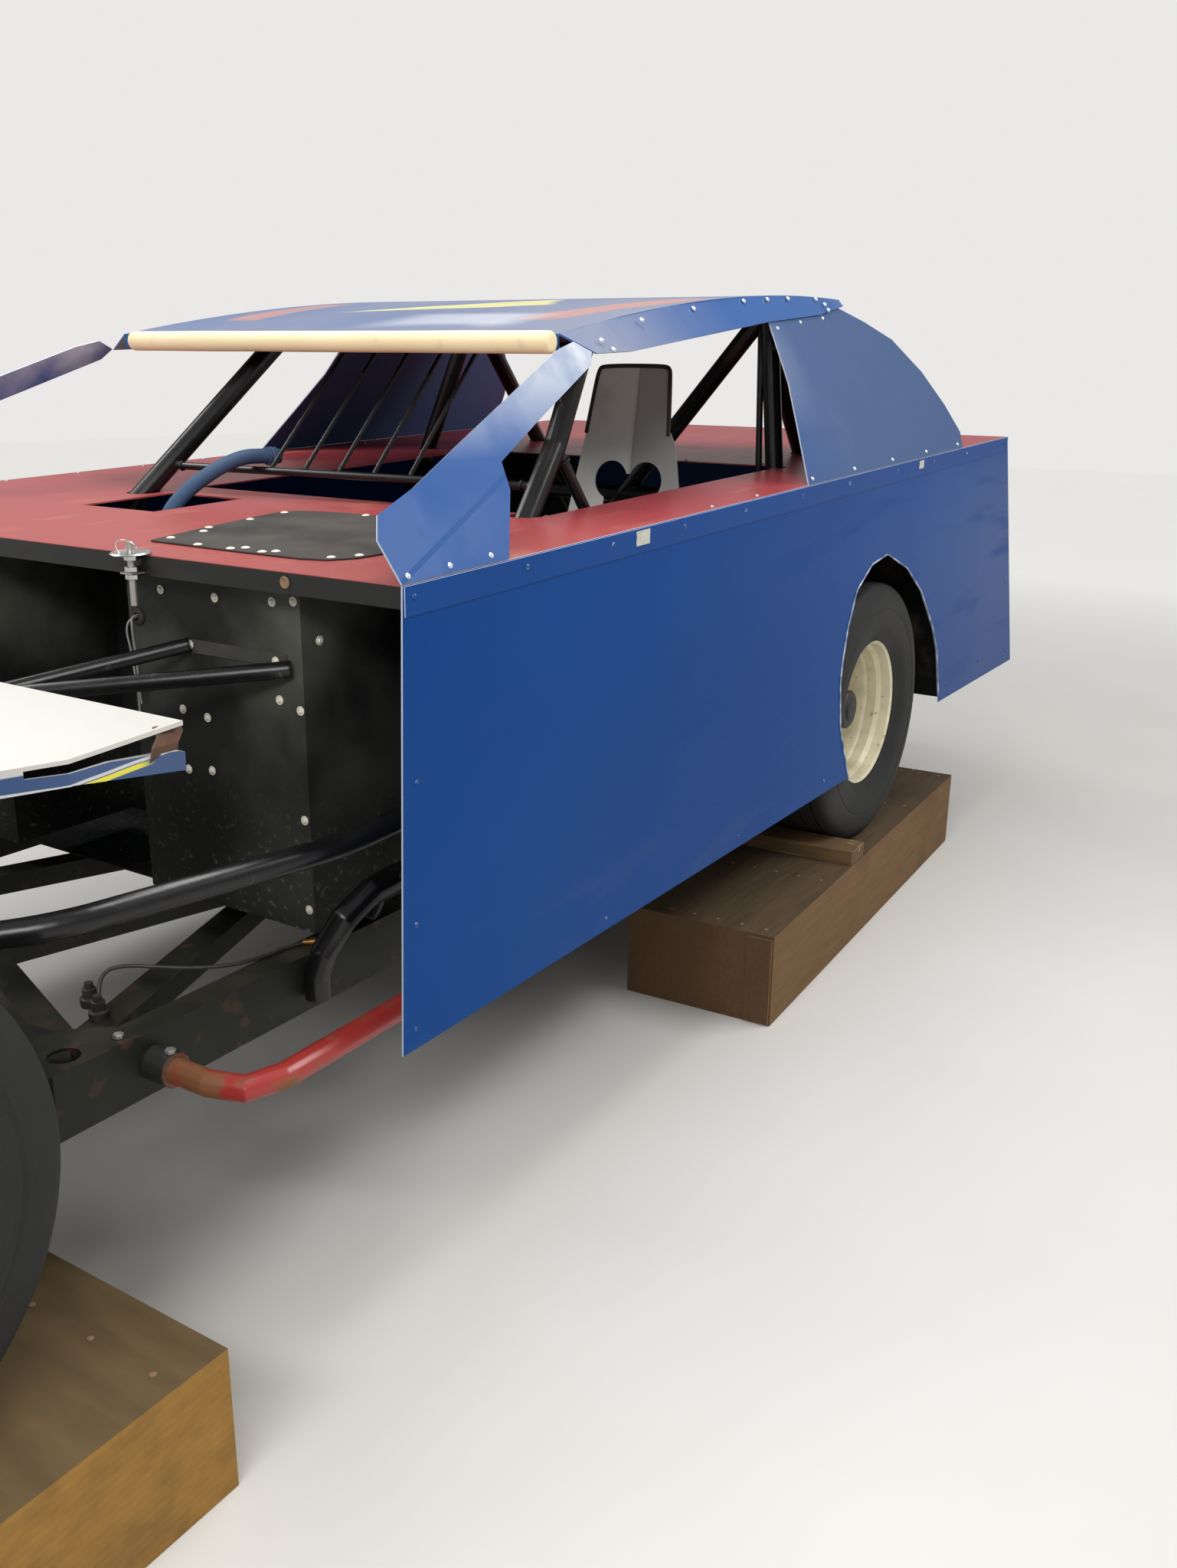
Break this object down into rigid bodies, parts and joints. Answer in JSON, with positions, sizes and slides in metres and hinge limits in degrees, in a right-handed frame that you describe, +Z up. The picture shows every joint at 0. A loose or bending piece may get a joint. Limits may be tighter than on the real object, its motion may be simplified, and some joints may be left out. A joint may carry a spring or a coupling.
{
  "type": "stock car",
  "caption": "Open-wheel dirt track stock car with a flat-sided body, roll cage and steered front wheels, standing on four wooden wheel boxes",
  "frame": {"origin": "centre of the footprint on the workshop floor", "axes": "+X is the driver's left, -Y is forwards (the nose), +Z is up"},
  "size_m": [1.8274, 4.98, 1.6133],
  "materials": {
    "frame_black": "satin, dusty",
    "cage_black": "gloss",
    "sheet_black": "satin",
    "red_paint": "faded gloss",
    "blue_paint": "gloss",
    "cream_pad": "matte",
    "white_plastic": "gloss",
    "bare_aluminium": "brushed",
    "steel": "dull",
    "wheel_white": "gloss",
    "tyre": "matte",
    "blue_hose": "matte",
    "plywood": "bare",
    "plank": "old, stained"
  },
  "bodies": {
    "chassis": {"frame": "frame_black", "roll_cage": "cage_black", "engine_bay_bars": "cage_black", "front_bumper": "cage_black", "rear_bumper": "cage_black", "side_rub_bars": "red_paint", "side_panel_left": "blue_paint", "side_panel_right": "blue_paint", "front_deck": "red_paint", "rear_deck": "red_paint", "firewall": "sheet_black", "floor_pan": "sheet_black", "roof": "blue_paint", "roof_pad": "cream_pad", "post_panel_left": "blue_paint", "post_panel_right": "blue_paint", "sail_panel_left": "blue_paint", "sail_panel_right": "blue_paint", "tail_panel": "blue_paint", "nose": "white_plastic", "seat": "bare_aluminium", "steering_column": "steel", "front_arms": "frame_black", "front_shocks": "steel", "rear_axle": "frame_black", "fuel_cell": "red_paint", "radiator": "bare_aluminium", "duct_hose": "blue_hose", "crib_front_left": "plywood", "crib_front_right": "plywood", "crib_rear_left": "plank", "crib_rear_right": "plank"},
    "knuckle_left_body": {"knuckle_left": "steel"},
    "knuckle_right_body": {"knuckle_right": "steel"},
    "centre_link_body": {"centre_link": "steel"},
    "pitman_arm_body": {"pitman_arm": "steel"},
    "idler_arm_body": {"idler_arm": "steel"},
    "wheel_front_left": {"rim_front_left": "wheel_white", "tyre_front_left": "tyre"},
    "wheel_front_right": {"rim_front_right": "wheel_white", "tyre_front_right": "tyre"},
    "wheel_rear_left": {"rim_rear_left": "wheel_white", "tyre_rear_left": "tyre"},
    "wheel_rear_right": {"rim_rear_right": "wheel_white", "tyre_rear_right": "tyre"}
  },
  "joints": [
    {"name": "steer_left", "type": "hinge", "parent": "chassis", "child": "knuckle_left_body", "pos_m": [0.532, -1.665, 0.5653], "axis": [0, 0, 1], "range_deg": [-22, 22]},
    {"name": "steer_right", "type": "hinge", "parent": "chassis", "child": "knuckle_right_body", "pos_m": [-0.532, -1.665, 0.5653], "axis": [0, 0, 1], "range_deg": [-22, 22]},
    {"name": "link_swing", "type": "hinge", "parent": "knuckle_left_body", "child": "centre_link_body", "pos_m": [0.532, -1.805, 0.455], "axis": [0, 0, 1], "range_deg": [-22, 22]},
    {"name": "pitman_swing", "type": "hinge", "parent": "chassis", "child": "pitman_arm_body", "pos_m": [0.25, -1.665, 0.485], "axis": [0, 0, 1], "range_deg": [-22, 22]},
    {"name": "idler_swing", "type": "hinge", "parent": "chassis", "child": "idler_arm_body", "pos_m": [-0.25, -1.665, 0.485], "axis": [0, 0, 1], "range_deg": [-22, 22]},
    {"name": "front_left_spin", "type": "hinge", "parent": "knuckle_left_body", "child": "wheel_front_left", "pos_m": [0.663, -1.665, 0.5653], "axis": [1, 0, 0], "continuous": true},
    {"name": "front_right_spin", "type": "hinge", "parent": "knuckle_right_body", "child": "wheel_front_right", "pos_m": [-0.663, -1.665, 0.5653], "axis": [1, 0, 0], "continuous": true},
    {"name": "rear_left_spin", "type": "hinge", "parent": "chassis", "child": "wheel_rear_left", "pos_m": [0.7, 1.18, 0.5653], "axis": [1, 0, 0], "continuous": true},
    {"name": "rear_right_spin", "type": "hinge", "parent": "chassis", "child": "wheel_rear_right", "pos_m": [-0.7, 1.18, 0.5653], "axis": [1, 0, 0], "continuous": true}
  ],
  "couplings": [
    {"joint": "steer_right", "follows": "steer_left", "ratio": 1},
    {"joint": "link_swing", "follows": "steer_left", "ratio": -1},
    {"joint": "pitman_swing", "follows": "steer_left", "ratio": 1},
    {"joint": "idler_swing", "follows": "steer_left", "ratio": 1}
  ]
}
